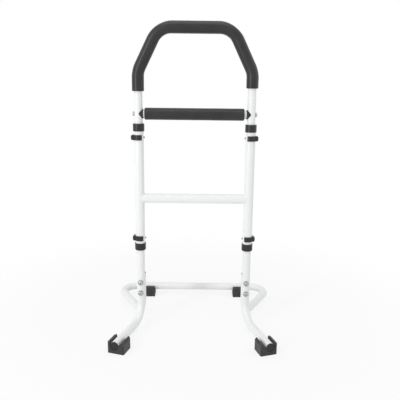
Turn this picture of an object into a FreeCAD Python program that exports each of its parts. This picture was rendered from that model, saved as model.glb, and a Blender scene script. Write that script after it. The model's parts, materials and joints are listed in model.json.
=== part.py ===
import FreeCAD, Part
import Sketcher
import math
import os

# A free-standing toilet safety frame, also used as a standing aid beside a bed or chair.
# A foam-covered hoop and its grip bar slide up and down in a welded middle frame, and the
# middle frame slides on two bent legs. Four spring clips with steel pins lock the heights.
# A bent rear loop is bolted behind the legs, and four rubber blocks carry the frame.
# +Z is up and -Y is the front. The origin is on the floor under the middle of the frame.

# name, size in millimetres or degrees, what it is
SIZES = [
    ("post_spacing", 335.0, "between the axes of the two posts"),
    ("inner_tube_od", 25.4, "tube of the hoop, grip bar, legs and rear loop"),
    ("inner_tube_wall", 1.5, "its wall"),
    ("outer_tube_wall", 1.7, "wall of the middle frame's tube"),
    ("tube_gap", 0.3, "radial, inner tube in outer tube"),
    ("running_gap", 0.05, "radial, sliding tube in the lip of its collar"),
    ("seat_gap", 0.1, "radial, between a pushed-on piece and its tube"),
    ("weld_gap", 0.05, "between a coped tube end and the tube it is welded to"),
    ("post_bottom_height", 260.0, "lower end of the outer tubes"),
    ("post_length", 387.0, "outer tube of the middle frame"),
    ("crossbar_rise", 162.5, "from there up to the axis of the welded crossbar"),
    ("collar_height", 22.5, "collar"),
    ("collar_lip", 3.0, "its lip over the end of the outer tube"),
    ("collar_wall", 2.3, "its wall round the outer tube"),
    ("upper_collar_round", 1.0, "rounded outer edge of the upper collars"),
    ("lower_collar_round", 2.8, "rounded outer edge of the lower collars"),
    ("grip_rise", 28.9, "from the upper collars up to the axis of the grip bar"),
    ("kink_rise", 121.1, "from the grip bar up to where the hoop's legs lean in"),
    ("hoop_rise", 124.2, "from there up to the axis of the hoop's level run"),
    ("hoop_inset", 61.2, "how far in the hoop's top corners stand from the posts' axes"),
    ("hoop_top_radius", 60.0, "bend at the top corners"),
    ("hoop_kink_radius", 60.0, "bend at the kinks"),
    ("foam_wall", 5.0, "foam sleeves"),
    ("hoop_foam_rise_left", 65.1, "from the grip bar up to the hoop sleeve's left end"),
    ("hoop_foam_rise_right", 76.1, "and to its right end, which was pushed up further"),
    ("foam_gap_left", 4.0, "bare tube at the left end of the grip bar"),
    ("foam_gap_right", 6.6, "and at its right end"),
    ("saddle_wall", 2.3, "grip bar's coped end piece, between the post and its shoulder"),
    ("saddle_lip", 1.3, "how far its shoulder stands out of the grip tube"),
    ("saddle_taper", 0.3, "how much less than the tube's its radius is at the post's axis"),
    ("saddle_spigot_length", 24.0, "its spigot inside the grip tube"),
    ("upper_pin_inset", 38.2, "pins that hold the hoop, below the top of the outer tubes"),
    ("lower_pin_inset", 35.8, "pins that hold the middle frame, above their lower ends"),
    ("pin_pitch", 20.0, "between two height holes"),
    ("pin_hole_count", 7.0, "height holes in each inner tube"),
    ("hole_margin", 15.0, "from the last height hole to the end of the tube"),
    ("pin_od", 6.0, "steel locking pin"),
    ("pin_gap", 0.1, "radial, pin in its holes"),
    ("pin_stand_out", 3.7, "its tip beyond the outer tube"),
    ("pin_tip", 1.2, "chamfer of the tip"),
    ("pin_seat", 2.5, "plastic left over the pin's inner end"),
    ("clip_height", 15.5, "spring clip"),
    ("clip_wall", 2.2, "its band"),
    ("clip_gap", 0.3, "radial, between the band and the outer tube"),
    ("clip_wrap", 129.0, "angle from the head to each tip of the band"),
    ("clip_head_depth", 8.5, "head, outward from the outer tube"),
    ("clip_head_width", 19.0, "head, across"),
    ("clip_head_corner", 4.0, "chamfered corners of the head"),
    ("clip_edge", 5.2, "rounded upper and lower edges of the head"),
    ("leg_splay", 17.7, "angle of the front legs, outward from straight ahead"),
    ("leg_bend_radius", 60.0, "bend at the foot of each leg"),
    ("leg_level_height", 24.0, "axis of the leg's level run"),
    ("leg_reach", 195.0, "from the post's axis to the end of the plug"),
    ("lower_bolt_height", 114.2, "lower leg bolt"),
    ("bolt_spacing", 35.3, "from there up to the upper leg bolt"),
    ("stub_gap", 0.2, "between a leg and the rear loop's upright"),
    ("stub_margin", 18.5, "from the upper leg bolt up to the top end of the uprights"),
    ("stub_bend_radius", 50.0, "bend from upright to arm"),
    ("rear_level_height", 30.5, "axis of the rear loop's level run"),
    ("rear_bar_reach", 249.75, "from the posts to the axis of the rear bar"),
    ("rear_spread", 118.0, "how far out the rear loop's corners stand from the posts' axes"),
    ("rear_corner_radius", 50.0, "bend at these corners"),
    ("bolt_size", 8.0, "shank of all bolts"),
    ("bolt_gap", 0.25, "radial, bolt in a drilled hole"),
    ("thread_gap", 0.05, "radial, bolt in its nut"),
    ("bolt_head_od", 14.0, "domed bolt head"),
    ("bolt_head_height", 4.6, "its height"),
    ("bolt_head_round", 3.4, "its dome"),
    ("bolt_socket", 5.0, "hexagon socket across flats"),
    ("bolt_socket_depth", 2.6, "its depth"),
    ("bolt_tail", 1.5, "thread that stands out of the nut"),
    ("washer_od", 18.0, "washers of the leg bolts"),
    ("washer_thickness", 1.6, "their thickness"),
    ("nut_across", 13.0, "nuts across flats"),
    ("nut_height", 6.5, "nuts"),
    ("foot_length", 47.5, "rubber block along the tube"),
    ("foot_thick_side", 30.5, "from the tube's axis to the outside of its thick wall"),
    ("foot_thin_side", 21.5, "and to the outside of its thin wall"),
    ("foot_height", 36.5, "thick wall of the front blocks"),
    ("foot_thin_height", 36.0, "thin wall of the front blocks"),
    ("rear_foot_height", 38.8, "thick wall of the rear blocks"),
    ("rear_foot_thin_height", 33.0, "thin wall of the rear blocks"),
    ("foot_slope", 6.0, "slope along the outside of the thick wall's top"),
    ("foot_thin_slope", 5.0, "slope along the outside of the thin wall's top"),
    ("foot_thin_drop", 1.5, "how far that slope falls"),
    ("foot_ridge", 1.5, "flat ridge of the thick wall"),
    ("foot_flare", 1.2, "how much wider the channel's thin side is at its mouth"),
    ("foot_corner", 4.0, "rounded upright corners of a block"),
    ("groove_depth", 1.5, "grip grooves across the sole"),
    ("groove_width", 3.0, "their width"),
    ("groove_pitch", 9.0, "between two grooves"),
    ("groove_count", 4.0, "grooves in each sole"),
    ("plug_flange", 3.0, "flange of a tube plug"),
    ("plug_inset", 0.4, "how much smaller than the tube's the flange's radius is"),
    ("plug_round", 1.8, "its rounded rim"),
    ("plug_spigot", 10.0, "spigot of a tube plug"),
    ("sweep_slack", 10.0, "straight run between a bend and the next swept span"),
]

# name, how it follows from the sizes above
FITS = [
    ("half_spacing", "sizes.post_spacing / 2"),
    ("inner_r", "sizes.inner_tube_od / 2"),
    ("inner_bore_r", "sizes.inner_tube_od / 2 - sizes.inner_tube_wall"),
    ("outer_bore_r", "sizes.inner_tube_od / 2 + sizes.tube_gap"),
    ("outer_r", "sizes.inner_tube_od / 2 + sizes.tube_gap + sizes.outer_tube_wall"),
    ("foam_bore_r", "sizes.inner_tube_od / 2 + sizes.seat_gap"),
    ("foam_r", "sizes.inner_tube_od / 2 + sizes.seat_gap + sizes.foam_wall"),
    ("spigot_r", "sizes.inner_tube_od / 2 - sizes.inner_tube_wall - sizes.seat_gap"),
    ("bolt_r", "sizes.bolt_size / 2"),
    ("bolt_hole_r", "sizes.bolt_size / 2 + sizes.bolt_gap"),
    ("pin_r", "sizes.pin_od / 2"),
    ("pin_hole_r", "sizes.pin_od / 2 + sizes.pin_gap"),
    ("post_top", "sizes.post_bottom_height + sizes.post_length"),
    ("crossbar_height", "sizes.post_bottom_height + sizes.crossbar_rise"),
    ("upper_collar_base", "post_top + sizes.collar_lip - sizes.collar_height"),
    ("lower_collar_base", "sizes.post_bottom_height - sizes.collar_lip + sizes.collar_height"),
    ("grip_height", "post_top + sizes.collar_lip + sizes.grip_rise"),
    ("kink_height", "grip_height + sizes.kink_rise"),
    ("hoop_height", "kink_height + sizes.hoop_rise"),
    ("hoop_foam_left", "grip_height + sizes.hoop_foam_rise_left"),
    ("hoop_foam_right", "grip_height + sizes.hoop_foam_rise_right"),
    ("upper_pin_height", "post_top - sizes.upper_pin_inset"),
    ("lower_pin_height", "sizes.post_bottom_height + sizes.lower_pin_inset"),
    ("pin_span", "sizes.pin_pitch * (sizes.pin_hole_count - 1)"),
    ("hoop_first_hole", "upper_pin_height - pin_span"),
    ("hoop_bottom", "hoop_first_hole - sizes.hole_margin"),
    ("leg_first_hole", "lower_pin_height - pin_span / 2"),
    ("leg_top", "lower_pin_height + pin_span / 2 + sizes.hole_margin"),
    ("saddle_end", "inner_r + sizes.saddle_wall"),
    ("grip_tube_length", "sizes.post_spacing - 2 * saddle_end"),
    ("grip_foam_length", "grip_tube_length - sizes.foam_gap_left - sizes.foam_gap_right"),
    ("nut_seat", "saddle_end + sizes.saddle_spigot_length - sizes.nut_height"),
    ("clip_bore_r", "outer_r + sizes.clip_gap"),
    ("clip_reach", "outer_r + sizes.clip_head_depth"),
    ("pin_reach", "outer_r + sizes.pin_stand_out"),
    ("upper_bolt_height", "sizes.lower_bolt_height + sizes.bolt_spacing"),
    ("lower_bolt_height", "sizes.lower_bolt_height"),
    ("stub_top", "upper_bolt_height + sizes.stub_margin"),
    ("stub_offset", "sizes.inner_tube_od + sizes.stub_gap"),
    (
        "rear_angle",
        "atan(sizes.rear_spread / (sizes.rear_bar_reach - stub_offset)) / 1deg",
    ),
    ("rear_corner", "half_spacing + sizes.rear_spread"),
    ("arm_start", "sizes.stub_bend_radius + sizes.sweep_slack"),
    ("leg_tube_reach", "sizes.leg_reach - sizes.plug_flange"),
    (
        "front_reach",
        "(sizes.leg_reach - sizes.foot_corner) * cos(sizes.leg_splay * 1deg)"
        " + (sizes.foot_thick_side - sizes.foot_corner) * sin(sizes.leg_splay * 1deg)"
        " + sizes.foot_corner",
    ),
    ("rear_reach", "sizes.rear_bar_reach + sizes.foot_thin_side"),
    ("post_plane", "(front_reach - rear_reach) / 2"),
]

doc = FreeCAD.newDocument("toilet_safety_frame")
parts = {}


def make_sheet(name, rows):
    """Fill a spreadsheet with named cells."""
    sheet = doc.addObject("Spreadsheet::Sheet", name)
    for line, (alias, content, *note) in enumerate(rows, start=1):
        sheet.set(f"A{line}", alias)
        sheet.set(f"B{line}", content if isinstance(content, str) else repr(content))
        sheet.setAlias(f"B{line}", alias)
        sheet.set(f"C{line}", note[0] if note else "")
    doc.recompute()
    return sheet


make_sheet("sizes", SIZES)
fits_sheet = make_sheet("fits", [(name, "=" + formula) for name, formula in FITS])


def worth(expression):
    """The present value of an expression on the named sizes."""
    return float(fits_sheet.evalExpression(expression))


def bind(thing, prop, expression):
    """Tie one property of a feature to the named sizes."""
    thing.setExpression(prop, expression)


def new_body(name):
    """A body with its own label, listed as a sub-part."""
    body = doc.addObject("PartDesign::Body", name)
    body.Label = name
    parts[name] = body
    return body


def place(thing, x="0", y="0", z="0", turn=None, axis=(0, 0, 1)):
    """Put a finished piece where it belongs; y counts from the plane of the posts."""
    if turn is not None:
        thing.Placement = FreeCAD.Placement(
            FreeCAD.Vector(), FreeCAD.Rotation(FreeCAD.Vector(*axis), worth(turn))
        )
        bind(thing, ".Placement.Rotation.Angle", turn)
    bind(thing, ".Placement.Base.x", x)
    bind(thing, ".Placement.Base.y", f"fits.post_plane + {y}")
    bind(thing, ".Placement.Base.z", z)


def new_sketch(body, name, plane, shift=None, turn=None):
    """A sketch on an origin plane; shift moves it in its own axes, turn is about its own Y."""
    sketch = body.newObject("Sketcher::SketchObject", f"{body.Name}_{name}")
    origin = next(f for f in body.Origin.OriginFeatures if f.Role == plane)
    sketch.AttachmentSupport = [(origin, "")]
    sketch.MapMode = "FlatFace"
    if turn is not None:
        angle = worth(turn)
        sketch.AttachmentOffset = FreeCAD.Placement(
            FreeCAD.Vector(), FreeCAD.Rotation(FreeCAD.Vector(0, 1, 0), angle)
        )
        bind(sketch, ".AttachmentOffset.Rotation.Angle", turn)
    for key, expression in (shift or {}).items():
        bind(sketch, f".AttachmentOffset.Base.{key}", expression)
    return sketch


def pin_point(sketch, geometry, point, x, y):
    """Fix a sketch point at distances from the sketch's origin."""
    for kind, expression in (("DistanceX", x), ("DistanceY", y)):
        rule = Sketcher.Constraint(kind, -1, 1, geometry, point, worth(expression))
        index = sketch.addConstraint(rule)
        bind(sketch, f"Constraints[{index}]", expression)


def add_circle(sketch, radius, x="0", y="0"):
    """A circle with its centre and radius tied to the named sizes."""
    centre = FreeCAD.Vector(worth(x), worth(y), 0)
    circle = Part.Circle(centre, FreeCAD.Vector(0, 0, 1), worth(radius))
    index = sketch.addGeometry(circle, False)
    pin_point(sketch, index, 3, x, y)
    rule = sketch.addConstraint(Sketcher.Constraint("Radius", index, worth(radius)))
    bind(sketch, f"Constraints[{rule}]", radius)


def add_polygon(sketch, corners):
    """A closed outline of straight edges through named corners."""
    points = [FreeCAD.Vector(worth(x), worth(y), 0) for x, y in corners]
    count = len(points)
    first = None
    for index in range(count):
        edge = Part.LineSegment(points[index], points[(index + 1) % count])
        number = sketch.addGeometry(edge, False)
        first = number if first is None else first
    for index, (x, y) in enumerate(corners):
        before = first + (index - 1) % count
        sketch.addConstraint(Sketcher.Constraint("Coincident", before, 2, first + index, 1))
        pin_point(sketch, first + index, 1, x, y)


def add_hexagon(sketch, across):
    """A regular hexagon about the sketch's origin, given across its flats."""
    corners = []
    for step in range(6):
        angle = 30 + 60 * step
        half = f"{across} / 2 / cos(30deg)"
        corners.append((f"{half} * cos({angle}deg)", f"{half} * sin({angle}deg)"))
    add_polygon(sketch, corners)


def add_route(sketch, corners, radii):
    """A tube's axis: straight runs through named corners, joined by tangent arcs."""
    points = [FreeCAD.Vector(worth(x), worth(y), 0) for x, y in corners]
    starts = [points[0]]
    ends = []
    arcs = []
    for before, corner, after, radius in zip(points, points[1:], points[2:], radii):
        into = (corner - before).normalize()
        out = (after - corner).normalize()
        turn = math.atan2(into.cross(out).z, into.dot(out))
        reach = worth(radius) * math.tan(abs(turn) / 2)
        ends.append(corner - into * reach)
        starts.append(corner + out * reach)
        middle = corner + (out - into).normalize() * (
            worth(radius) / math.cos(turn / 2) - worth(radius)
        )
        arcs.append((Part.Arc(ends[-1], middle, starts[-1]), turn > 0))
    ends.append(points[-1])
    lines = []
    bends = []
    for index, (start, end) in enumerate(zip(starts, ends)):
        lines.append(sketch.addGeometry(Part.LineSegment(start, end), False))
        if index < len(arcs):
            bends.append(sketch.addGeometry(arcs[index][0], False))
    for index, bend in enumerate(bends):
        leftward = arcs[index][1]
        near, far = (1, 2) if leftward else (2, 1)
        sketch.addConstraint(Sketcher.Constraint("Tangent", lines[index], 2, bend, near))
        sketch.addConstraint(Sketcher.Constraint("Tangent", bend, far, lines[index + 1], 1))
        rule = sketch.addConstraint(Sketcher.Constraint("Radius", bend, worth(radii[index])))
        bind(sketch, f"Constraints[{rule}]", radii[index])
        mark = sketch.addGeometry(Part.Point(points[index + 1]), True)
        sketch.addConstraint(Sketcher.Constraint("PointOnObject", mark, 1, lines[index]))
        sketch.addConstraint(Sketcher.Constraint("PointOnObject", mark, 1, lines[index + 1]))
        pin_point(sketch, mark, 1, *corners[index + 1])
    pin_point(sketch, lines[0], 1, *corners[0])
    pin_point(sketch, lines[-1], 2, *corners[-1])


def pad(body, name, sketch, length, symmetric=False):
    """Extrude a sketch along its normal."""
    feature = body.newObject("PartDesign::Pad", f"{body.Name}_{name}")
    feature.Profile = sketch
    feature.SideType = "Symmetric" if symmetric else "One side"
    bind(feature, "Length", length)
    return feature


def pocket(body, name, sketch, depth=None):
    """Cut a sketch through the whole body both ways, or to a depth against its normal."""
    feature = body.newObject("PartDesign::Pocket", f"{body.Name}_{name}")
    feature.Profile = sketch
    if depth is None:
        feature.SideType = "Symmetric"
        feature.Type = "ThroughAll"
    else:
        bind(feature, "Length", depth)
    return feature


def revolve(body, name, sketch, axis):
    """Turn a sketch once round one of its own axes."""
    feature = body.newObject("PartDesign::Revolution", f"{body.Name}_{name}")
    feature.Profile = sketch
    feature.ReferenceAxis = (sketch, [axis])
    feature.Angle = 360
    return feature


def sweep(body, name, profile, route):
    """Sweep a profile along a route sketch."""
    feature = body.newObject("PartDesign::AdditivePipe", f"{body.Name}_{name}")
    feature.Profile = profile
    feature.Spine = route
    return feature


def repeat(body, name, feature, sketch, length, count):
    """Repeat a cut upwards along its sketch's vertical axis."""
    pattern = body.newObject("PartDesign::LinearPattern", f"{body.Name}_{name}")
    pattern.Originals = [feature]
    pattern.Direction = (sketch, ["V_Axis"])
    bind(pattern, "Length", length)
    bind(pattern, "Occurrences", count)
    body.Tip = pattern
    return pattern


def round_edges(body, name, base, radius, wanted):
    """Fillet those edges of a feature for which wanted(edge) is true."""
    doc.recompute()
    names = [f"Edge{n}" for n, edge in enumerate(base.Shape.Edges, start=1) if wanted(edge)]
    feature = body.newObject("PartDesign::Fillet", f"{body.Name}_{name}")
    feature.Base = (base, names)
    bind(feature, "Radius", radius)
    return feature


def add_ring(body, name, plane, outer, inner, x="0", y="0", shift=None, turn=None):
    """A sketch of a tube's cross-section."""
    sketch = new_sketch(body, name, plane, shift, turn)
    add_circle(sketch, outer, x, y)
    add_circle(sketch, inner, x, y)
    return sketch


def drill(body, name, plane, holes, radius):
    """Drill round holes through the whole body along the normal of a plane."""
    sketch = new_sketch(body, f"{name}_sketch", plane)
    for x, y in holes:
        add_circle(sketch, radius, x, y)
    return pocket(body, name, sketch)


def drill_height_holes(body, first):
    """Drill the row of height holes for the locking pins, one above the other."""
    sketch = new_sketch(body, "height_sketch", "YZ_Plane")
    add_circle(sketch, "fits.pin_hole_r", "0", first)
    hole = pocket(body, "height_hole", sketch)
    repeat(body, "height_holes", hole, sketch, "fits.pin_span", "sizes.pin_hole_count")


def hoop_corners(left_end, right_end):
    """The hoop's axis from one lower end to the other."""
    return [
        ("-fits.half_spacing", left_end),
        ("-fits.half_spacing", "fits.kink_height"),
        ("-(fits.half_spacing - sizes.hoop_inset)", "fits.hoop_height"),
        ("fits.half_spacing - sizes.hoop_inset", "fits.hoop_height"),
        ("fits.half_spacing", "fits.kink_height"),
        ("fits.half_spacing", right_end),
    ]


HOOP_RADII = [
    "sizes.hoop_kink_radius",
    "sizes.hoop_top_radius",
    "sizes.hoop_top_radius",
    "sizes.hoop_kink_radius",
]


def make_hoop_sweep(name, outer, inner, left_end, right_end):
    """A tube along the hoop's axis."""
    body = new_body(name)
    route = new_sketch(body, "route", "XZ_Plane")
    add_route(route, hoop_corners(left_end, right_end), HOOP_RADII)
    ring = add_ring(
        body, "ring", "XY_Plane", outer, inner, "-fits.half_spacing", shift={"z": left_end}
    )
    sweep(body, "tube", ring, route)
    place(body)
    return body


def make_hoop():
    """The bent top tube with its height holes, and its foam sleeve."""
    tube = make_hoop_sweep(
        "hoop_tube", "fits.inner_r", "fits.inner_bore_r", "fits.hoop_bottom", "fits.hoop_bottom"
    )
    drill(tube, "grip_holes", "YZ_Plane", [("0", "fits.grip_height")], "fits.bolt_hole_r")
    drill_height_holes(tube, "fits.hoop_first_hole")
    make_hoop_sweep(
        "hoop_foam",
        "fits.foam_r",
        "fits.foam_bore_r",
        "fits.hoop_foam_left",
        "fits.hoop_foam_right",
    )


def make_straight_tube(name, outer, inner, length, middle="0"):
    """A tube along X at the grip bar's height."""
    body = new_body(name)
    ring = add_ring(body, "ring", "YZ_Plane", outer, inner)
    pad(body, "tube", ring, length, symmetric=True)
    place(body, middle, z="fits.grip_height")


def make_saddle(side, turn):
    """Coped end piece: a cone that hugs the post and a spigot that fills the grip tube."""
    body = new_body(f"grip_saddle_{side}")
    outline = new_sketch(body, "outline", "XY_Plane")
    corners = [
        ("0", "0"),
        ("fits.saddle_end", "0"),
        ("fits.saddle_end", "fits.inner_r + sizes.saddle_lip"),
        ("0", "fits.inner_r - sizes.saddle_taper"),
    ]
    add_polygon(outline, corners)
    revolve(body, "cone", outline, "H_Axis")
    spigot = new_sketch(body, "spigot_sketch", "YZ_Plane", {"z": "fits.saddle_end"})
    add_circle(spigot, "fits.spigot_r")
    pad(body, "spigot", spigot, "sizes.saddle_spigot_length")
    drill(body, "cope", "XY_Plane", [("0", "0")], "fits.inner_r + sizes.seat_gap")
    drill(body, "bore", "YZ_Plane", [("0", "0")], "fits.bolt_hole_r")
    end = {"z": "fits.saddle_end + sizes.saddle_spigot_length"}
    socket = new_sketch(body, "nut_sketch", "YZ_Plane", end)
    add_hexagon(socket, "(sizes.nut_across + 2 * sizes.seat_gap)")
    pocket(body, "nut_pocket", socket, "sizes.nut_height")
    place(body, POST_X[side], z="fits.grip_height", turn=turn)


def make_nut(name, x, y, z, turn):
    """A hexagon nut along X that starts at its own origin."""
    body = new_body(name)
    outline = new_sketch(body, "outline", "YZ_Plane")
    add_hexagon(outline, "sizes.nut_across")
    pad(body, "prism", outline, "sizes.nut_height")
    drill(body, "thread", "YZ_Plane", [("0", "0")], "fits.bolt_r + sizes.thread_gap")
    place(body, x, y, z, turn)
    return body


def make_bolt(name, x, y, z, turn, grip):
    """A domed socket bolt along X; its head's underside is at its own origin."""
    body = new_body(name)
    outline = new_sketch(body, "outline", "XY_Plane")
    tail = f"{grip} + sizes.nut_height + sizes.bolt_tail"
    corners = [
        ("-sizes.bolt_head_height", "0"),
        (tail, "0"),
        (tail, "fits.bolt_r"),
        ("0", "fits.bolt_r"),
        ("0", "sizes.bolt_head_od / 2"),
        ("-sizes.bolt_head_height", "sizes.bolt_head_od / 2"),
    ]
    add_polygon(outline, corners)
    turned = revolve(body, "turned", outline, "H_Axis")
    head = -worth("sizes.bolt_head_height")
    rim = worth("sizes.bolt_head_od") / 2
    round_edges(
        body,
        "dome",
        turned,
        "sizes.bolt_head_round",
        lambda edge: is_circle(edge, rim) and math.isclose(edge.Curve.Center.x, head, abs_tol=1e-6),
    )
    socket = new_sketch(body, "socket_sketch", "YZ_Plane", {"z": "-sizes.bolt_head_height"})
    add_hexagon(socket, "sizes.bolt_socket")
    hole = pocket(body, "socket", socket, "sizes.bolt_socket_depth")
    hole.Reversed = True
    place(body, x, y, z, turn)
    return body


def is_circle(edge, radius):
    """Whether an edge is a circle of that radius."""
    return isinstance(edge.Curve, Part.Circle) and math.isclose(
        edge.Curve.Radius, radius, abs_tol=1e-6
    )


POST_X = {"left": "-fits.half_spacing", "right": "fits.half_spacing"}
INWARD = {"left": "0", "right": "180"}
OUTWARD = {"left": "180", "right": "0"}


def make_grip():
    """The grip bar between the posts of the hoop, with its ends and fasteners."""
    make_straight_tube("grip_tube", "fits.inner_r", "fits.inner_bore_r", "fits.grip_tube_length")
    make_straight_tube(
        "grip_foam",
        "fits.foam_r",
        "fits.foam_bore_r",
        "fits.grip_foam_length",
        "(sizes.foam_gap_left - sizes.foam_gap_right) / 2",
    )
    for side, sign in (("left", "-"), ("right", "")):
        turn = INWARD[side]
        make_saddle(side, turn)
        nut_x = f"{sign}(fits.half_spacing - fits.nut_seat)"
        make_nut(f"grip_nut_{side}", nut_x, "0", "fits.grip_height", turn)
        head_x = f"{sign}(fits.half_spacing + fits.inner_r + sizes.weld_gap)"
        grip = "(fits.inner_r + sizes.weld_gap + fits.nut_seat)"
        make_bolt(f"grip_bolt_{side}", head_x, "0", "fits.grip_height", turn, grip)


def make_post(side):
    """An outer tube of the middle frame, with one pair of pin holes at each end."""
    body = new_body(f"post_tube_{side}")
    base = {"z": "sizes.post_bottom_height"}
    ring = add_ring(body, "ring", "XY_Plane", "fits.outer_r", "fits.outer_bore_r", shift=base)
    pad(body, "tube", ring, "sizes.post_length")
    holes = [("0", "fits.upper_pin_height"), ("0", "fits.lower_pin_height")]
    drill(body, "pin_holes", "YZ_Plane", holes, "fits.pin_hole_r")
    place(body, POST_X[side])


def make_crossbar():
    """The crossbar, coped at both ends to the posts it is welded to."""
    body = new_body("middle_crossbar")
    ring = add_ring(body, "ring", "YZ_Plane", "fits.outer_r", "fits.outer_bore_r")
    pad(body, "tube", ring, "sizes.post_spacing", symmetric=True)
    posts = [("-fits.half_spacing", "0"), ("fits.half_spacing", "0")]
    drill(body, "copes", "XY_Plane", posts, "fits.outer_r + sizes.weld_gap")
    place(body, z="fits.crossbar_height")


def make_collar(level, side):
    """A collar that caps the end of an outer tube and guides the inner tube."""
    body = new_body(f"{level}_collar_{side}")
    section = new_sketch(body, "section", "XZ_Plane")
    bore = "fits.outer_r + sizes.seat_gap"
    rim = f"{bore} + sizes.collar_wall"
    lip = "fits.inner_r + sizes.running_gap"
    step = "sizes.collar_height - sizes.collar_lip"
    corners = [
        (bore, "0"),
        (rim, "0"),
        (rim, "sizes.collar_height"),
        (lip, "sizes.collar_height"),
        (lip, step),
        (bore, step),
    ]
    add_polygon(section, corners)
    turned = revolve(body, "turned", section, "V_Axis")
    top = worth("sizes.collar_height")
    radius = worth(rim)
    round_edges(
        body,
        "rim_round",
        turned,
        f"sizes.{level}_collar_round",
        lambda edge: is_circle(edge, radius) and math.isclose(edge.Curve.Center.z, top, abs_tol=1e-6),
    )
    if level == "upper":
        place(body, POST_X[side], z="fits.upper_collar_base")
    else:
        place(body, POST_X[side], z="fits.lower_collar_base", turn="180", axis=(1, 0, 0))


def make_clip(level, side):
    """A spring clip: a C-shaped band round the outer tube with a thick head that holds the pin."""
    body = new_body(f"{level}_clip_{side}")
    band_r = "(fits.clip_bore_r + sizes.clip_wall)"
    disc = new_sketch(body, "disc_sketch", "XY_Plane")
    add_circle(disc, band_r)
    pad(body, "disc", disc, "sizes.clip_height", symmetric=True)
    head = new_sketch(body, "head_sketch", "XY_Plane")
    half = "sizes.clip_head_width / 2"
    reach = "fits.clip_reach"
    add_polygon(head, [("0", f"-{half}"), (reach, f"-{half}"), (reach, half), ("0", half)])
    block = pad(body, "head", head, "sizes.clip_height", symmetric=True)
    face = worth(reach)
    round_edges(
        body,
        "head_round",
        block,
        "sizes.clip_edge",
        lambda edge: min(v.X for v in edge.Vertexes) > face - 1e-6
        and math.isclose(edge.BoundBox.ZLength, 0, abs_tol=1e-6),
    )
    corner = "sizes.clip_head_corner"
    slopes = new_sketch(body, "slope_sketch", "XY_Plane")
    for sign in ("-", ""):
        add_polygon(
            slopes,
            [
                (f"{reach} + {corner}", f"{sign}({half} - 2 * {corner})"),
                (f"{reach} + {corner}", f"{sign}({half} + 2 * {corner})"),
                (f"{reach} - 3 * {corner}", f"{sign}({half} + 2 * {corner})"),
            ],
        )
    pocket(body, "slopes", slopes)
    drill(body, "bore", "XY_Plane", [("0", "0")], "fits.clip_bore_r")
    mouth = new_sketch(body, "mouth_sketch", "XY_Plane")
    spread = f"2 * {band_r}"
    rise = f"{spread} * tan((180 - sizes.clip_wrap) * 1deg)"
    add_polygon(mouth, [("0", "0"), (f"-{spread}", rise), (f"-{spread}", f"-({rise})")])
    pocket(body, "mouth", mouth)
    pin_end = f"{reach} - sizes.pin_seat"
    seat = new_sketch(body, "pin_sketch", "YZ_Plane", {"z": pin_end})
    add_circle(seat, "fits.pin_r + sizes.thread_gap")
    pocket(body, "pin_hole", seat, pin_end)
    place(body, POST_X[side], z=f"fits.{level}_pin_height", turn=OUTWARD[side])

    pin = new_body(f"{level}_pin_{side}")
    section = new_sketch(pin, "section", "XY_Plane")
    corners = [
        ("-fits.pin_reach", "0"),
        (pin_end, "0"),
        (pin_end, "fits.pin_r"),
        ("-fits.pin_reach + sizes.pin_tip", "fits.pin_r"),
        ("-fits.pin_reach", "fits.pin_r - sizes.pin_tip"),
    ]
    add_polygon(section, corners)
    revolve(pin, "turned", section, "H_Axis")
    place(pin, POST_X[side], z=f"fits.{level}_pin_height", turn=OUTWARD[side])


LEG_TURN = {"left": "(270 - sizes.leg_splay)", "right": "(270 + sizes.leg_splay)"}


def make_leg(side):
    """A bent leg: upright through the post, then forward and outward to its rubber foot."""
    body = new_body(f"leg_tube_{side}")
    route = new_sketch(body, "route", "XZ_Plane", turn=LEG_TURN[side])
    corners = [
        ("0", "fits.leg_top"),
        ("0", "sizes.leg_level_height"),
        ("fits.leg_tube_reach", "sizes.leg_level_height"),
    ]
    add_route(route, corners, ["sizes.leg_bend_radius"])
    ring = add_ring(
        body, "ring", "XY_Plane", "fits.inner_r", "fits.inner_bore_r", shift={"z": "fits.leg_top"}
    )
    sweep(body, "tube", ring, route)
    bolts = [("0", "fits.upper_bolt_height"), ("0", "fits.lower_bolt_height")]
    drill(body, "bolt_holes", "XZ_Plane", bolts, "fits.bolt_hole_r")
    drill_height_holes(body, "fits.leg_first_hole")
    place(body, POST_X[side])


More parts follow.
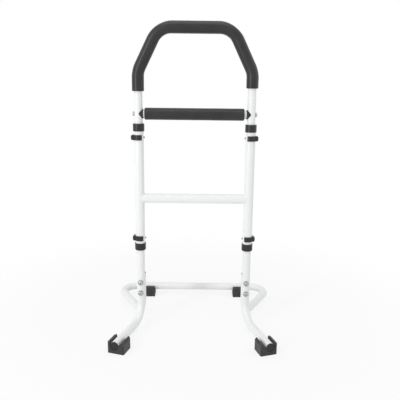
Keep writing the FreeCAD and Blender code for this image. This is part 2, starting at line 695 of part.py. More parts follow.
def make_rear_loop():
    """One bent tube: an upright behind each leg, an arm out and back, and the rear bar."""
    body = new_body("rear_loop")
    for side, turn in (("left", "(90 + fits.rear_angle)"), ("right", "(90 - fits.rear_angle)")):
        ring = add_ring(
            body,
            f"{side}_ring",
            "XY_Plane",
            "fits.inner_r",
            "fits.inner_bore_r",
            POST_X[side],
            "fits.stub_offset",
            shift={"z": "fits.stub_top"},
        )
        foot = {"x": POST_X[side], "z": "-fits.stub_offset"}
        route = new_sketch(body, f"{side}_route", "XZ_Plane", shift=foot, turn=turn)
        corners = [
            ("0", "fits.stub_top"),
            ("0", "sizes.rear_level_height"),
            ("fits.arm_start", "sizes.rear_level_height"),
        ]
        add_route(route, corners, ["sizes.stub_bend_radius"])
        sweep(body, f"{side}_upright", ring, route)
    start_x = "(fits.half_spacing + fits.arm_start * sin(fits.rear_angle * 1deg))"
    start_y = "(fits.stub_offset + fits.arm_start * cos(fits.rear_angle * 1deg))"
    route = new_sketch(body, "bar_route", "XY_Plane", {"z": "sizes.rear_level_height"})
    corners = [
        (f"-{start_x}", start_y),
        ("-fits.rear_corner", "sizes.rear_bar_reach"),
        ("fits.rear_corner", "sizes.rear_bar_reach"),
        (start_x, start_y),
    ]
    add_route(route, corners, ["sizes.rear_corner_radius", "sizes.rear_corner_radius"])
    middle = {"x": f"-{start_x}", "y": "sizes.rear_level_height", "z": f"-{start_y}"}
    ring = add_ring(
        body,
        "bar_ring",
        "XZ_Plane",
        "fits.inner_r",
        "fits.inner_bore_r",
        shift=middle,
        turn="fits.rear_angle",
    )
    sweep(body, "bar", ring, route)
    bolts = [
        (POST_X[side], f"fits.{level}_bolt_height")
        for side in ("left", "right")
        for level in ("upper", "lower")
    ]
    drill(body, "bolt_holes", "XZ_Plane", bolts, "fits.bolt_hole_r")
    place(body)


def make_washer(name, x, y, z, turn):
    """A flat washer along X that starts at its own origin."""
    body = new_body(name)
    ring = add_ring(body, "ring", "YZ_Plane", "sizes.washer_od / 2", "fits.bolt_hole_r")
    pad(body, "disc", ring, "sizes.washer_thickness")
    place(body, x, y, z, turn)
    return body


def group(name, pieces):
    """Join identical loose pieces into one sub-part without fusing them."""
    for piece in pieces:
        del parts[piece.Name]
    compound = doc.addObject("Part::Compound", name)
    compound.Label = name
    compound.Links = pieces
    parts[name] = compound


def make_leg_fasteners(side):
    """Two bolts with washers and nuts that clamp the rear loop behind a leg."""
    bolts, washers, nuts = [], [], []
    x = POST_X[side]
    front = "-(fits.inner_r + sizes.weld_gap)"
    back = "fits.stub_offset + fits.inner_r + sizes.weld_gap"
    for level in ("upper", "lower"):
        z = f"fits.{level}_bolt_height"
        tag = f"{level}_{side}"
        head = f"({front} - sizes.washer_thickness)"
        nut = f"({back} + sizes.washer_thickness)"
        bolts.append(make_bolt(f"bolt_{tag}", x, head, z, "90", f"({nut} - {head})"))
        washers.append(make_washer(f"front_washer_{tag}", x, head, z, "90"))
        washers.append(make_washer(f"back_washer_{tag}", x, f"({back})", z, "90"))
        nuts.append(make_nut(f"nut_{tag}", x, nut, z, "90"))
    group(f"leg_bolts_{side}", bolts)
    group(f"leg_washers_{side}", washers)
    group(f"leg_nuts_{side}", nuts)


def make_foot(name, height, thin_height, axis_height, thick):
    """A rubber block along X whose open channel grips a tube; thick is its thick wall's sign."""
    thin = "-" if thick == "" else ""
    body = new_body(name)
    section = new_sketch(body, "section", "YZ_Plane", {"z": "-sizes.foot_length / 2"})
    wide = "sizes.foot_thick_side"
    narrow = "sizes.foot_thin_side"
    corners = [
        (f"{thin}{narrow}", "0"),
        (f"{thick}{wide}", "0"),
        (f"{thick}{wide}", f"{height} - sizes.foot_slope"),
        (f"{thick}({wide} - sizes.foot_slope)", height),
        (f"{thin}({narrow} - sizes.foot_thin_slope)", thin_height),
        (f"{thin}{narrow}", f"{thin_height} - sizes.foot_thin_drop"),
    ]
    add_polygon(section, corners)
    block = pad(body, "block", section, "sizes.foot_length")
    upright = worth(f"{height} - sizes.foot_slope") - 1e-6
    thin_upright = worth(f"{thin_height} - sizes.foot_thin_drop") - 1e-6
    round_edges(
        body,
        "corner_round",
        block,
        "sizes.foot_corner",
        lambda edge: edge.BoundBox.ZLength > min(upright, thin_upright)
        and math.isclose(edge.BoundBox.YLength, 0, abs_tol=1e-6),
    )
    seat = "fits.inner_r + sizes.seat_gap"
    drill(body, "seat", "YZ_Plane", [("0", axis_height)], seat)
    mouth = new_sketch(body, "mouth_sketch", "YZ_Plane")
    above = f"{height} + sizes.foot_slope"
    rim = f"({wide} - sizes.foot_slope - sizes.foot_ridge)"
    run = f"({rim} - fits.inner_r * cos(35deg))"
    rise = f"({height} - {axis_height} + fits.inner_r * sin(35deg))"
    corners = [
        (f"{thin}({seat})", axis_height),
        (f"{thick}(fits.inner_r * cos(35deg))", f"{axis_height} - fits.inner_r * sin(35deg)"),
        (f"{thick}({rim} + sizes.foot_slope * {run} / {rise})", above),
        (f"{thin}({seat} + sizes.foot_flare)", above),
    ]
    add_polygon(mouth, corners)
    pocket(body, "mouth", mouth)
    groove = new_sketch(body, "groove_sketch", "XZ_Plane")
    first = "-sizes.groove_pitch * (sizes.groove_count - 1) / 2"
    count = round(worth("sizes.groove_count"))
    for step in range(count):
        left = f"({first} + {step} * sizes.groove_pitch - sizes.groove_width / 2)"
        right = f"({left} + sizes.groove_width)"
        low = "-sizes.groove_depth"
        top = "sizes.groove_depth"
        add_polygon(groove, [(left, low), (right, low), (right, top), (left, top)])
    pocket(body, "grooves", groove)
    return body


def make_plug(name, x, y, z, turn, axis=(0, 0, 1)):
    """A tube plug along X: a flange over the tube's end and a spigot inside it."""
    body = new_body(name)
    section = new_sketch(body, "section", "XY_Plane")
    corners = [
        ("-sizes.plug_spigot", "0"),
        ("sizes.plug_flange", "0"),
        ("sizes.plug_flange", "fits.inner_r - sizes.plug_inset"),
        ("0", "fits.inner_r - sizes.plug_inset"),
        ("0", "fits.spigot_r"),
        ("-sizes.plug_spigot", "fits.spigot_r"),
    ]
    add_polygon(section, corners)
    turned = revolve(body, "turned", section, "H_Axis")
    rim = worth("fits.inner_r - sizes.plug_inset")
    end = worth("sizes.plug_flange")
    round_edges(
        body,
        "rim_round",
        turned,
        "sizes.plug_round",
        lambda edge: is_circle(edge, rim) and math.isclose(edge.Curve.Center.x, end, abs_tol=1e-6),
    )
    place(body, x, y, z, turn, axis)


def make_feet():
    """Rubber blocks and tube plugs."""
    for side, sign in (("left", "-"), ("right", "")):
        along = "(sizes.leg_reach - sizes.foot_length / 2)"
        foot = make_foot(
            f"front_foot_{side}",
            "sizes.foot_height",
            "sizes.foot_thin_height",
            "sizes.leg_level_height",
            "" if side == "left" else "-",
        )
        x = f"{sign}(fits.half_spacing + {along} * sin(sizes.leg_splay * 1deg))"
        y = f"-{along} * cos(sizes.leg_splay * 1deg)"
        place(foot, x, y, turn=LEG_TURN[side])
        x = f"{sign}(fits.half_spacing + fits.leg_tube_reach * sin(sizes.leg_splay * 1deg))"
        y = "-fits.leg_tube_reach * cos(sizes.leg_splay * 1deg)"
        make_plug(f"leg_plug_{side}", x, y, "sizes.leg_level_height", LEG_TURN[side])
        foot = make_foot(
            f"rear_foot_{side}",
            "sizes.rear_foot_height",
            "sizes.rear_foot_thin_height",
            "sizes.rear_level_height",
            "-",
        )
        place(foot, POST_X[side], "sizes.rear_bar_reach")
        make_plug(
            f"stub_cap_{side}",
            POST_X[side],
            "fits.stub_offset",
            "fits.stub_top",
            "270",
            (0, 1, 0),
        )


def check_document():
    """Stop if any feature failed or any sub-part is not a valid closed solid."""
    doc.recompute()
    for thing in doc.Objects:
        if "Invalid" in thing.State or "Error" in thing.State:
            raise RuntimeError(f"{thing.Name} failed: {thing.State}")
    for name, part in parts.items():
        shape = part.Shape
        if shape.isNull() or not shape.isValid() or not shape.Solids:
            raise RuntimeError(f"{name} has no valid solid")


make_hoop()
make_grip()
make_crossbar()
for post_side in ("left", "right"):
    make_post(post_side)
    make_leg(post_side)
    make_leg_fasteners(post_side)
    for end_level in ("upper", "lower"):
        make_collar(end_level, post_side)
        make_clip(end_level, post_side)
make_rear_loop()
make_feet()
check_document()
os.makedirs("parts", exist_ok=True)
for part_name, finished in parts.items():
    finished.Shape.exportStep(f"parts/{part_name}.step")
    print(part_name, len(finished.Shape.Solids), round(finished.Shape.Volume))
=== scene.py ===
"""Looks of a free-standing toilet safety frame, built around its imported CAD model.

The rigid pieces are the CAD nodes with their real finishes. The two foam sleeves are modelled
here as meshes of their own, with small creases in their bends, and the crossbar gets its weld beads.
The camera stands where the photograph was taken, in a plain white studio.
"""

from __future__ import annotations

import json
import logging
import math
from dataclasses import dataclass, field
from enum import Enum

import bmesh
import bpy
from mathutils import Matrix, Vector, noise

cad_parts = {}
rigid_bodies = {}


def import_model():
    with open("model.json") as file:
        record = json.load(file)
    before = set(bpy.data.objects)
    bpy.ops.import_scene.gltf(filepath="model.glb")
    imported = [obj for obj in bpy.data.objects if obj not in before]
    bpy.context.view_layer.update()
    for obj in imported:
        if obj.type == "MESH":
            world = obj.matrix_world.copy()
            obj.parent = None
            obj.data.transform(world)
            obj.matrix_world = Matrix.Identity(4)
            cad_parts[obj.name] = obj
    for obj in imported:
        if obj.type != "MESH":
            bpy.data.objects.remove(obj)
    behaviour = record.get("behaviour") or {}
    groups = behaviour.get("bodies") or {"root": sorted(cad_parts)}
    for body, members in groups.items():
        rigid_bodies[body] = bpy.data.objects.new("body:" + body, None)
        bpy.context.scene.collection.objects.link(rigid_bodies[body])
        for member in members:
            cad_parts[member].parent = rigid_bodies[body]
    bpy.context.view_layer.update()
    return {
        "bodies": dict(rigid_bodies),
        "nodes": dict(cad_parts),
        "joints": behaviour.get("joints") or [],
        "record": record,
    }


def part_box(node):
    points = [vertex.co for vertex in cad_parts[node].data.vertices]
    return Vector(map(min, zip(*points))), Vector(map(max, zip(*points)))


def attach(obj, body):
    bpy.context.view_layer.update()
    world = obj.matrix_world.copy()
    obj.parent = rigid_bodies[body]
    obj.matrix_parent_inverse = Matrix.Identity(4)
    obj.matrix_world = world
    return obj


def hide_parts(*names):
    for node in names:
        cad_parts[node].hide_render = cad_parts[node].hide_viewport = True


LOG = logging.getLogger("safety_frame")
MM = 0.001
FLOAT_SOCKET = "NodeSocketFloat"
VECTOR_SOCKET = "NodeSocketVector"
COLOR_SOCKET = "NodeSocketColor"


class Slot(Enum):
    """The record's material slots."""

    WHITE_TUBE = "white_tube"
    FOAM = "foam_sleeve"
    BLACK_PLASTIC = "black_plastic"
    RUBBER = "foot_rubber"
    CHROME = "chrome_bolt"
    ZINC = "zinc_steel"


class Side(Enum):
    """The two posts, each with the way that the crossbar runs from it along X."""

    LEFT = 1
    RIGHT = -1


class NodeSheet:
    """A thin helper for adding and wiring shader nodes."""

    def __init__(self, tree: bpy.types.NodeTree) -> None:
        """Keep the tree and start from an empty sheet.

        Args:
            tree: the node tree to fill.
        """
        self.tree = tree
        tree.nodes.clear()

    def add(self, kind: str, **settings: object) -> bpy.types.Node:
        """Add one node.

        Args:
            kind: the node's Blender type name.
            settings: node properties, or socket values by their name.

        Returns:
            The new node.
        """
        node = self.tree.nodes.new(kind)
        for name, value in settings.items():
            if hasattr(node, name):
                setattr(node, name, value)
            else:
                node.inputs[name.replace("_", " ")].default_value = value
        return node

    def link(self, source: bpy.types.NodeSocket, target: bpy.types.NodeSocket) -> None:
        """Wire one socket to another."""
        self.tree.links.new(source, target)


class Effects:
    """Shader node groups that every finish uses."""

    BROAD_SCALE = 22.0
    BROAD_DETAIL = 3.0
    NOISE_MIDDLE = 0.5
    DRIFT_DETAIL = 4.0
    DRIFT_LOW = 0.35
    DRIFT_HIGH = 0.65

    def __init__(self) -> None:
        """Build every group once."""
        self.grain = self._make_grain()
        self.tone = self._make_tone()

    @staticmethod
    def _new_group(
        name: str, inputs: dict[str, str], outputs: dict[str, str]
    ) -> tuple[bpy.types.NodeTree, NodeSheet, bpy.types.Node, bpy.types.Node]:
        """Make an empty group with named sockets.

        Args:
            name: the group's name.
            inputs: socket name to its type.
            outputs: socket name to its type.

        Returns:
            The group's tree, its helper, and its input and output nodes.
        """
        tree = bpy.data.node_groups.new(name, "ShaderNodeTree")
        for direction, sockets in (("INPUT", inputs), ("OUTPUT", outputs)):
            for label, kind in sockets.items():
                tree.interface.new_socket(label, in_out=direction, socket_type=kind)
        sheet = NodeSheet(tree)
        return tree, sheet, sheet.add("NodeGroupInput"), sheet.add("NodeGroupOutput")

    def _make_grain(self) -> bpy.types.NodeTree:
        """Fine surface texture: a height for bump, and a roughness that varies broadly.

        Returns:
            The group.
        """
        tree, sheet, source, sink = self._new_group(
            "surface_grain",
            {
                "Vector": VECTOR_SOCKET,
                "Scale": FLOAT_SOCKET,
                "Detail": FLOAT_SOCKET,
                "Roughness": FLOAT_SOCKET,
                "Spread": FLOAT_SOCKET,
            },
            {"Height": FLOAT_SOCKET, "Roughness": FLOAT_SOCKET},
        )
        fine = sheet.add("ShaderNodeTexNoise")
        for name in ("Vector", "Scale", "Detail"):
            sheet.link(source.outputs[name], fine.inputs[name])
        broad = sheet.add("ShaderNodeTexNoise", Scale=self.BROAD_SCALE, Detail=self.BROAD_DETAIL)
        sheet.link(source.outputs["Vector"], broad.inputs["Vector"])
        centred = sheet.add("ShaderNodeMath", operation="SUBTRACT")
        sheet.link(broad.outputs["Fac"], centred.inputs[0])
        centred.inputs[1].default_value = self.NOISE_MIDDLE
        scaled = sheet.add("ShaderNodeMath", operation="MULTIPLY_ADD", use_clamp=True)
        sheet.link(centred.outputs[0], scaled.inputs[0])
        sheet.link(source.outputs["Spread"], scaled.inputs[1])
        sheet.link(source.outputs["Roughness"], scaled.inputs[2])
        sheet.link(fine.outputs["Fac"], sink.inputs["Height"])
        sheet.link(scaled.outputs[0], sink.inputs["Roughness"])
        return tree

    def _make_tone(self) -> bpy.types.NodeTree:
        """A colour that drifts a little over the surface.

        Returns:
            The group.
        """
        tree, sheet, source, sink = self._new_group(
            "tone_drift",
            {
                "Vector": VECTOR_SOCKET,
                "Light": COLOR_SOCKET,
                "Dark": COLOR_SOCKET,
                "Scale": FLOAT_SOCKET,
            },
            {"Color": COLOR_SOCKET},
        )
        drift = sheet.add("ShaderNodeTexNoise", Detail=self.DRIFT_DETAIL)
        for name in ("Vector", "Scale"):
            sheet.link(source.outputs[name], drift.inputs[name])
        ramp = sheet.add("ShaderNodeMapRange", From_Min=self.DRIFT_LOW, From_Max=self.DRIFT_HIGH)
        sheet.link(drift.outputs["Fac"], ramp.inputs["Value"])
        mix = sheet.add("ShaderNodeMix", data_type="RGBA")
        sheet.link(ramp.outputs["Result"], mix.inputs["Factor"])
        sheet.link(source.outputs["Light"], mix.inputs["A"])
        sheet.link(source.outputs["Dark"], mix.inputs["B"])
        sheet.link(mix.outputs["Result"], sink.inputs["Color"])
        return tree


@dataclass(frozen=True)
class Finish:
    """A finish of one material slot."""

    slot: Slot
    light: tuple[float, float, float]
    dark: tuple[float, float, float]
    roughness: float
    grain_scale: float
    grain_strength: float
    tone_scale: float = 12.0
    metallic: float = 0.0
    roughness_spread: float = 0.1
    grain_detail: float = 2.0
    grain_depth: float = 0.0001
    coat: float = 0.0
    coat_roughness: float = 0.1
    level: float = 0.5

    def build(self, effects: Effects) -> bpy.types.Material:
        """Make the material.

        Args:
            effects: the shared node groups.

        Returns:
            The material.
        """
        material = bpy.data.materials.new(self.slot.value + "_finish")
        material.use_nodes = True
        sheet = NodeSheet(material.node_tree)
        out = sheet.add("ShaderNodeOutputMaterial")
        shader = sheet.add(
            "ShaderNodeBsdfPrincipled",
            Metallic=self.metallic,
            Coat_Weight=self.coat,
            Coat_Roughness=self.coat_roughness,
            Specular_IOR_Level=self.level,
        )
        sheet.link(shader.outputs["BSDF"], out.inputs["Surface"])
        place = sheet.add("ShaderNodeTexCoord")
        tone = sheet.add(
            "ShaderNodeGroup",
            node_tree=effects.tone,
            Light=(*self.light, 1),
            Dark=(*self.dark, 1),
            Scale=self.tone_scale,
        )
        sheet.link(place.outputs["Object"], tone.inputs["Vector"])
        sheet.link(tone.outputs["Color"], shader.inputs["Base Color"])
        grain = sheet.add(
            "ShaderNodeGroup",
            node_tree=effects.grain,
            Scale=self.grain_scale,
            Detail=self.grain_detail,
            Roughness=self.roughness,
            Spread=self.roughness_spread,
        )
        sheet.link(place.outputs["Object"], grain.inputs["Vector"])
        sheet.link(grain.outputs["Roughness"], shader.inputs["Roughness"])
        bump = sheet.add("ShaderNodeBump", Strength=self.grain_strength, Distance=self.grain_depth)
        sheet.link(grain.outputs["Height"], bump.inputs["Height"])
        sheet.link(bump.outputs["Normal"], shader.inputs["Normal"])
        return material


FINISHES = (
    Finish(
        Slot.WHITE_TUBE,
        light=(0.87, 0.88, 0.885),
        dark=(0.86, 0.87, 0.875),
        tone_scale=5.0,
        roughness=0.32,
        roughness_spread=0.05,
        grain_scale=520.0,
        grain_depth=0.00004,
        grain_strength=0.15,
        coat=0.25,
        coat_roughness=0.12,
    ),
    Finish(
        Slot.FOAM,
        light=(0.028, 0.028, 0.029),
        dark=(0.021, 0.021, 0.022),
        tone_scale=30.0,
        roughness=0.34,
        roughness_spread=0.16,
        grain_scale=1400.0,
        grain_detail=3.0,
        grain_strength=0.2,
        level=0.35,
    ),
    Finish(
        Slot.BLACK_PLASTIC,
        light=(0.020, 0.020, 0.021),
        dark=(0.016, 0.016, 0.017),
        roughness=0.30,
        grain_scale=1600.0,
        grain_strength=0.12,
        level=0.38,
    ),
    Finish(
        Slot.RUBBER,
        light=(0.042, 0.042, 0.041),
        dark=(0.030, 0.030, 0.030),
        tone_scale=60.0,
        roughness=0.46,
        grain_scale=1100.0,
        grain_strength=0.3,
        level=0.35,
    ),
    Finish(
        Slot.CHROME,
        light=(0.50, 0.50, 0.51),
        dark=(0.43, 0.43, 0.44),
        metallic=1.0,
        roughness=0.06,
        grain_scale=900.0,
        grain_strength=0.05,
    ),
    Finish(
        Slot.ZINC,
        light=(0.42, 0.43, 0.44),
        dark=(0.33, 0.34, 0.35),
        metallic=1.0,
        roughness=0.33,
        grain_scale=900.0,
        grain_strength=0.1,
    ),
)


class Workshop:
    """The finishes, ready to be put on pieces."""

    def __init__(self) -> None:
        """Build the shared effects and every finish."""
        effects = Effects()
        self.materials = {finish.slot: finish.build(effects) for finish in FINISHES}

    def dress(self, piece: bpy.types.Object, slot: Slot) -> None:
        """Put one finish all over a piece.

        Args:
            piece: the object to dress.
            slot: the material slot whose finish it takes.
        """
        piece.data.materials.clear()
        piece.data.materials.append(self.materials[slot])

    def dress_cad(self, frame: dict) -> None:
        """Give every CAD node its finish.
        """
        for row in frame["record"]["subparts"]:
            node = frame["nodes"][row["node"]]
            for place in node.material_slots:
                place.material = self.materials[Slot(row["material_slot"])]
            LOG.info("dressed %s in %s", row["node"], row["material_slot"])


@dataclass(frozen=True)
class Span:
    """A straight or round stretch of a tube's axis; only a round one has a centre and a turn."""

    start: Vector
    end: Vector
    length: float
    centre: Vector | None = None
    turn: float = 0.0

    def at(self, share: float) -> tuple[Vector, float, Vector]:
        """Where the axis is along this stretch.

        Args:
            share: how far along it, from 0 to 1.

        Returns:
            The point, how far into a bend it is, and the way to the inside of the bend.
        """
        if self.centre is None:
            return self.start.lerp(self.end, share), 0.0, Vector()
        arm = self.start - self.centre
        side = (self.end - self.centre) - arm * math.cos(self.turn)
        angle = self.turn * share
        point = self.centre + arm * math.cos(angle) + side / math.sin(self.turn) * math.sin(angle)
        bend = math.sin(math.pi * share) * min(1.0, self.turn)
        return point, bend, (self.centre - point).normalized()


@dataclass
class TubeRoute:
    """The axis of a bent tube: straight runs joined by round bends."""

    corners: list[Vector]
    radii: list[float]
    points: list[Vector] = field(default_factory=list)
    bends: list[float] = field(default_factory=list)
    inward: list[Vector] = field(default_factory=list)

    @property
    def last(self) -> int:
        """The number of the last point."""
        return len(self.points) - 1

    def walk(self, step: float) -> None:
        """Fill the lists with evenly spaced points, how far each is into a bend, and its inside.

        Args:
            step: distance between two points.
        """
        spans = self._spans()
        total = sum(span.length for span in spans)
        count = max(2, round(total / step))
        for index in range(count + 1):
            distance = total * index / count
            for span in spans:
                if distance <= span.length or span is spans[-1]:
                    break
                distance -= span.length
            point, bend, inward = span.at(min(1.0, distance / span.length))
            self.points.append(point)
            self.bends.append(bend)
            self.inward.append(inward)

    def along(self, index: int) -> Vector:
        """The direction of the axis at one of its points.

        Args:
            index: the point's number.

        Returns:
            The direction, one metre long.
        """
        ahead = self.points[min(index + 1, self.last)]
        behind = self.points[max(index - 1, 0)]
        return (ahead - behind).normalized()

    def _spans(self) -> list[Span]:
        """The straight and round stretches, in order.

        Returns:
            The stretches.
        """
        spans = []
        at = self.corners[0]
        for before, corner, after, radius in zip(
            self.corners, self.corners[1:], self.corners[2:], self.radii
        ):
            into = (corner - before).normalized()
            out = (after - corner).normalized()
            turn = into.angle(out)
            reach = radius * math.tan(turn / 2)
            start = corner - into * reach
            end = corner + out * reach
            centre = start + (out - into * into.dot(out)).normalized() * radius
            spans.append(Span(at, start, (start - at).length))
            spans.append(Span(start, end, radius * turn, centre, turn))
            at = end
        spans.append(Span(at, self.corners[-1], (self.corners[-1] - at).length))
        return spans


@dataclass
class FoamSleeve:
    """A foam sleeve pushed over a tube, with the small creases it has in the bends."""

    name: str
    node: str
    body: str
    route: TubeRoute
    outer: float
    bore: float
    seed: float = 0.0
    step: float = 0.0012
    sides: int = 72
    bore_stride: int = 4
    lip_share: float = 0.32
    crease_depth: float = 0.0013
    crease_pace: float = 160.0
    crease_spread: float = 0.8
    thinning: float = 0.0013
    dent_depth: float = 0.00018
    dent_pace: float = 25.0
    dent_spread: float = 1.5
    ridge_depth: float = 0.0005
    ridge_spread: float = 2.4
    ridge_pace: float = 2.5
    ridge_at_ends: float = 0.8
    ridge_fade: float = 0.03
    ridge_least: float = 0.15
    ridge_start: float = 0.35
    ridge_growth: float = 0.65

    def build(self, shop: Workshop) -> bpy.types.Object:
        """Model the sleeve and put it in the place of its CAD node.

        Args:
            shop: the finishes.

        Returns:
            The sleeve.
        """
        self.route.walk(self.step)
        mesh = bpy.data.meshes.new(self.name)
        form = bmesh.new()
        rings = self._rings(form)
        for near, far in zip(rings, rings[1:]):
            for index in range(self.sides):
                following = (index + 1) % self.sides
                form.faces.new((near[index], near[following], far[following], far[index]))
        bmesh.ops.recalc_face_normals(form, faces=form.faces)
        form.to_mesh(mesh)
        form.free()
        mesh.shade_smooth()
        piece = bpy.data.objects.new(self.name, mesh)
        bpy.context.scene.collection.objects.link(piece)
        shop.dress(piece, Slot.FOAM)
        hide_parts(self.node)
        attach(piece, self.body)
        LOG.info("%s: %d faces", self.name, len(mesh.polygons))
        return piece

    def _rings(self, form: bmesh.types.BMesh) -> list[list[bmesh.types.BMVert]]:
        """Rings of points from the bore's one end, over the outside, and back through the bore.

        Args:
            form: the mesh being made.

        Returns:
            The rings, the first again at the end so that the skin closes.
        """
        last = self.route.last
        lip = (self.outer - self.bore) * self.lip_share
        rings = []
        for index in range(last + 1):
            edge = self._from_end(index)
            shrink = 0.0
            if edge < lip:
                shrink = lip - math.sqrt(max(0.0, lip * lip - (lip - edge) ** 2))
            rings.append(self._ring(form, index, self.outer - shrink, outside=True))
        for index in [*range(last, 0, -self.bore_stride), 0]:
            rings.append(self._ring(form, index, self.bore, outside=False))
        rings.append(rings[0])
        return rings

    def _ring(
        self, form: bmesh.types.BMesh, index: int, radius: float, outside: bool
    ) -> list[bmesh.types.BMVert]:
        """One ring of points round the sleeve's axis.

        Args:
            form: the mesh being made.
            index: which point of the route it is at.
            radius: its radius before creases.
            outside: whether it lies on the outside, where the foam creases.

        Returns:
            The ring's points.
        """
        depth_wise = Vector((0, 1, 0))
        side_wise = self.route.along(index).cross(depth_wise).normalized()
        ring = []
        for step in range(self.sides):
            angle = 2 * math.pi * step / self.sides
            way = side_wise * math.cos(angle) + depth_wise * math.sin(angle)
            reach = radius
            if outside:
                reach -= self._crease(index, way) + self._ridge(index, angle)
            ring.append(form.verts.new(self.route.points[index] + way * reach))
        return ring

    def _from_end(self, index: int) -> float:
        """How far a point of the route is from the sleeve's nearer end."""
        return min(index, self.route.last - index) * self.step

    def _crease(self, index: int, way: Vector) -> float:
        """How much a point of the outside is drawn in.

        Args:
            index: which point of the route it is at.
            way: its direction from the axis.

        Returns:
            The depth in metres.
        """
        bend = self.route.bends[index]
        lean = way.dot(self.route.inward[index])
        travelled = index * self.step
        spread = self.crease_spread
        place = Vector((travelled * self.crease_pace, way.x * spread, way.z * spread + self.seed))
        fold = max(0.0, noise.noise(place)) * self.crease_depth * bend * max(0.0, lean)
        spread = self.dent_spread
        place = Vector((travelled * self.dent_pace, way.x * spread + self.seed, way.y * spread))
        dent = noise.noise(place) * self.dent_depth
        return fold + self.thinning * bend * max(0.0, -lean) + dent

    def _ridge(self, index: int, angle: float) -> float:
        """Depth of the long folds that run with the sleeve at its bends and ends.

        Args:
            index: which point of the route it is at.
            angle: the point's angle round the axis.

        Returns:
            The depth in metres.
        """
        share = index / self.route.last
        near_end = self.ridge_at_ends * math.exp(-self._from_end(index) / self.ridge_fade)
        weight = max(self.route.bends[index], near_end, self.ridge_least)
        weight *= self.ridge_start + self.ridge_growth * share
        across = math.cos(angle) * self.ridge_spread
        back = math.sin(angle) * self.ridge_spread
        place = Vector((across, back, share * self.ridge_pace + self.seed))
        return max(0.0, noise.noise(place)) * self.ridge_depth * weight


@dataclass
class Hoop:
    """The hoop's sleeve and the grip bar's sleeve.

    The corners of the hoop's axis are pairs of X and Z in millimetres.
    """

    plane: float
    corners: tuple[tuple[float, float], ...] = (
        (-167.5, 744.0),
        (-167.5, 800.0),
        (-106.3, 924.2),
        (106.3, 924.2),
        (167.5, 800.0),
        (167.5, 755.0),
    )
    bend_radius: float = 60 * MM
    foam_radius: float = 17.8 * MM
    foam_bore: float = 12.8 * MM
    grip_seed: float = 7.3

    def build(self, shop: Workshop) -> None:
        """Model both sleeves.

        Args:
            shop: the finishes.
        """
        bent = [self._at(x * MM, z * MM) for x, z in self.corners]
        low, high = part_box("grip_foam")
        middle = (low.z + high.z) / 2
        straight = [self._at(low.x, middle), self._at(high.x, middle)]
        for name, node, corners, seed in (
            ("hoop_sleeve", "hoop_foam", bent, 0.0),
            ("grip_sleeve", "grip_foam", straight, self.grip_seed),
        ):
            route = TubeRoute(corners, [self.bend_radius] * (len(corners) - 2))
            FoamSleeve(name, node, "hoop", route, self.foam_radius, self.foam_bore, seed).build(shop)

    def _at(self, x: float, z: float) -> Vector:
        """A point in the posts' plane."""
        return Vector((x, self.plane, z))


@dataclass
class MiddleFrame:
    """The weld beads round the coped ends of the crossbar."""

    tube_radius: float = 14.7 * MM
    bead_radius: float = 1.0 * MM
    saddle_lean: float = 45.0
    segments: int = 120
    bead_sides: int = 12
    cut_tolerance: float = 1e-7
    join_tolerance: float = 2e-6

    def build(self, shop: Workshop) -> None:
        """Model a bead at each end.

        Args:
            shop: the finishes.
        """
        low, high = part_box("middle_crossbar")
        height = (low.z + high.z) / 2
        for side in Side:
            label = side.name.lower()
            post_low, post_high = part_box(f"post_tube_{label}")
            axis = (post_low + post_high) / 2
            bead = self._bead(f"weld_bead_{label}", side, Vector((axis.x, axis.y, height)))
            shop.dress(bead, Slot.WHITE_TUBE)
            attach(bead, "middle_frame")
            LOG.info("%s: %d faces", bead.name, len(bead.data.polygons))

    def _bead(self, name: str, side: Side, place: Vector) -> bpy.types.Object:
        """One bead: two leaning half rings that follow the saddle line of two equal tubes.

        Args:
            name: the piece's name.
            side: which post it is on.
            place: where the two tubes' axes cross.

        Returns:
            The bead.
        """
        bpy.ops.object.select_all(action="DESELECT")
        bpy.ops.mesh.primitive_torus_add(
            major_radius=self.tube_radius,
            minor_radius=self.bead_radius,
            major_segments=self.segments,
            minor_segments=self.bead_sides,
            rotation=(0, math.radians(-self.saddle_lean * side.value), 0),
        )
        bead = bpy.context.object
        bead.name = name
        bpy.ops.object.transform_apply(location=True, rotation=True, scale=True)
        bpy.ops.object.mode_set(mode="EDIT")
        bpy.ops.mesh.select_all(action="SELECT")
        stretch = math.sqrt(2)
        bpy.ops.transform.resize(value=(stretch, 1, stretch), center_override=(0, 0, 0))
        bpy.ops.mesh.select_all(action="SELECT")
        bpy.ops.mesh.bisect(
            plane_co=(0, 0, 0),
            plane_no=(0, 0, 1),
            clear_inner=True,
            threshold=self.cut_tolerance,
        )
        bpy.ops.object.mode_set(mode="OBJECT")
        mirror = bead.modifiers.new("lower_half", "MIRROR")
        mirror.use_axis = (False, False, True)
        mirror.merge_threshold = self.join_tolerance
        bpy.ops.object.modifier_apply(modifier=mirror.name)
        bpy.ops.object.mode_set(mode="EDIT")
        bpy.ops.mesh.select_all(action="SELECT")
        bpy.ops.mesh.remove_doubles(threshold=self.join_tolerance)
        bpy.ops.mesh.normals_make_consistent(inside=False)
        bpy.ops.transform.translate(value=place)
        bpy.ops.object.mode_set(mode="OBJECT")
        bead.data.shade_smooth()
        return bead


@dataclass(frozen=True)
class Lamp:
    """One soft lamp panel."""

    name: str
    place: tuple[float, float, float]
    wide: float
    tall: float
    watts: float


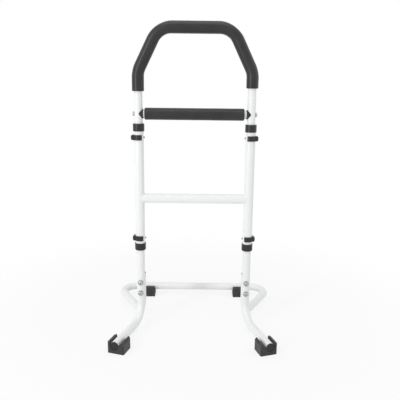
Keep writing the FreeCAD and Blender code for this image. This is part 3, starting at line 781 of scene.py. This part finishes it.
@dataclass
class Studio:
    """Floor, light and camera; lengths are in metres and angles in degrees."""

    plane: float
    lens: float = 44.78
    sensor: float = 36.0
    eye: tuple[float, float, float] = (0.0133, -1.495, 0.760)
    pitch: float = 12.88
    yaw: float = 0.18
    roll: float = 0.65
    level: float = 0.66
    floor_size: float = 60.0
    floor_paint: tuple[float, float, float, float] = (0.9, 0.9, 0.9, 1)
    floor_white: float = 0.8
    fade_start: float = 0.35
    fade_end: float = 1.1
    aim: tuple[float, float, float] = (0, 0, 0.5)
    lamps: tuple[Lamp, ...] = (
        Lamp("key", (-1.80, -1.95, 1.15), 0.34, 2.2, 25.0),
        Lamp("top", (0.0, -0.5, 2.9), 1.8, 1.8, 13.0),
        Lamp("right_edge", (2.3, -0.2, 1.1), 0.5, 1.8, 4.0),
    )

    def build(self) -> None:
        """Make the whole studio."""
        self._camera()
        self._floor()
        self._world()
        for lamp in self.lamps:
            self._hang(lamp)
        bpy.context.scene.view_settings.view_transform = "Standard"

    def _camera(self) -> None:
        """Put the camera where the photograph was taken."""
        data = bpy.data.cameras.new("camera")
        data.lens = self.lens
        data.sensor_width = self.sensor
        camera = bpy.data.objects.new("camera", data)
        bpy.context.scene.collection.objects.link(camera)
        turn = (
            Matrix.Rotation(math.radians(-self.yaw), 4, "Z")
            @ Matrix.Rotation(math.radians(90 - self.pitch), 4, "X")
            @ Matrix.Rotation(math.radians(self.roll), 4, "Z")
        )
        x, y, z = self.eye
        camera.matrix_world = Matrix.Translation((x, y + self.plane, z)) @ turn
        bpy.context.scene.camera = camera

    @staticmethod
    def _seen(sheet: NodeSheet) -> bpy.types.NodeSocket:
        """Where the eye, a reflection or a view through glass meets this surface.

        Args:
            sheet: the node tree to add to.

        Returns:
            A socket that is 1 there and 0 elsewhere.
        """
        path = sheet.add("ShaderNodeLightPath")
        best = path.outputs["Is Camera Ray"]
        for ray in ("Is Glossy Ray", "Is Transmission Ray"):
            node = sheet.add("ShaderNodeMath", operation="MAXIMUM")
            sheet.link(best, node.inputs[0])
            sheet.link(path.outputs[ray], node.inputs[1])
            best = node.outputs[0]
        return best

    def _floor(self) -> None:
        """A pale floor that is white where it is seen, and keeps a soft shadow near the object."""
        bpy.ops.object.select_all(action="DESELECT")
        bpy.ops.mesh.primitive_plane_add(size=self.floor_size, location=(0, 0, 0))
        floor = bpy.context.object
        floor.name = "floor"
        material = bpy.data.materials.new("floor_paint")
        material.use_nodes = True
        sheet = NodeSheet(material.node_tree)
        out = sheet.add("ShaderNodeOutputMaterial")
        place = sheet.add("ShaderNodeTexCoord")
        paint = sheet.add("ShaderNodeBsdfDiffuse", Color=self.floor_paint)
        white = sheet.add("ShaderNodeEmission", Color=(1, 1, 1, 1))
        far = sheet.add("ShaderNodeVectorMath", operation="LENGTH")
        sheet.link(place.outputs["Object"], far.inputs[0])
        rise = sheet.add(
            "ShaderNodeMapRange",
            interpolation_type="SMOOTHSTEP",
            From_Min=self.fade_start,
            From_Max=self.fade_end,
            To_Min=self.floor_white,
            To_Max=1.0,
        )
        sheet.link(far.outputs["Value"], rise.inputs["Value"])
        cover = sheet.add("ShaderNodeMath", operation="MULTIPLY")
        sheet.link(self._seen(sheet), cover.inputs[0])
        sheet.link(rise.outputs["Result"], cover.inputs[1])
        mix = sheet.add("ShaderNodeMixShader")
        sheet.link(cover.outputs[0], mix.inputs[0])
        sheet.link(paint.outputs[0], mix.inputs[1])
        sheet.link(white.outputs[0], mix.inputs[2])
        sheet.link(mix.outputs[0], out.inputs["Surface"])
        floor.data.materials.append(material)

    def _world(self) -> None:
        """White where it is seen, and a plain level of light on the object."""
        world = bpy.data.worlds.new("studio")
        bpy.context.scene.world = world
        world.use_nodes = True
        sheet = NodeSheet(world.node_tree)
        out = sheet.add("ShaderNodeOutputWorld")
        strength = sheet.add("ShaderNodeMapRange", To_Min=self.level, To_Max=1.0)
        sheet.link(self._seen(sheet), strength.inputs["Value"])
        sky = sheet.add("ShaderNodeBackground", Color=(1, 1, 1, 1))
        sheet.link(strength.outputs["Result"], sky.inputs["Strength"])
        sheet.link(sky.outputs[0], out.inputs["Surface"])

    def _hang(self, lamp: Lamp) -> None:
        """Hang a lamp panel that faces the middle of the object.

        Args:
            lamp: the panel.
        """
        data = bpy.data.lights.new(lamp.name, "AREA")
        data.shape = "RECTANGLE"
        data.size = lamp.wide
        data.size_y = lamp.tall
        data.energy = lamp.watts
        panel = bpy.data.objects.new(lamp.name, data)
        bpy.context.scene.collection.objects.link(panel)
        panel.location = lamp.place
        aim = Vector(self.aim) - Vector(lamp.place)
        panel.rotation_euler = aim.to_track_quat("-Z", "Y").to_euler()


def main() -> None:
    """Build the looks around the CAD model."""
    logging.basicConfig(level=logging.INFO, format="%(message)s")
    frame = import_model()
    bpy.ops.object.select_all(action="DESELECT")
    low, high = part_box("post_tube_left")
    plane = (low.y + high.y) / 2
    shop = Workshop()
    shop.dress_cad(frame)
    MiddleFrame().build(shop)
    Hoop(plane).build(shop)
    Studio(plane).build()


if __name__ == "__main__":
    main()
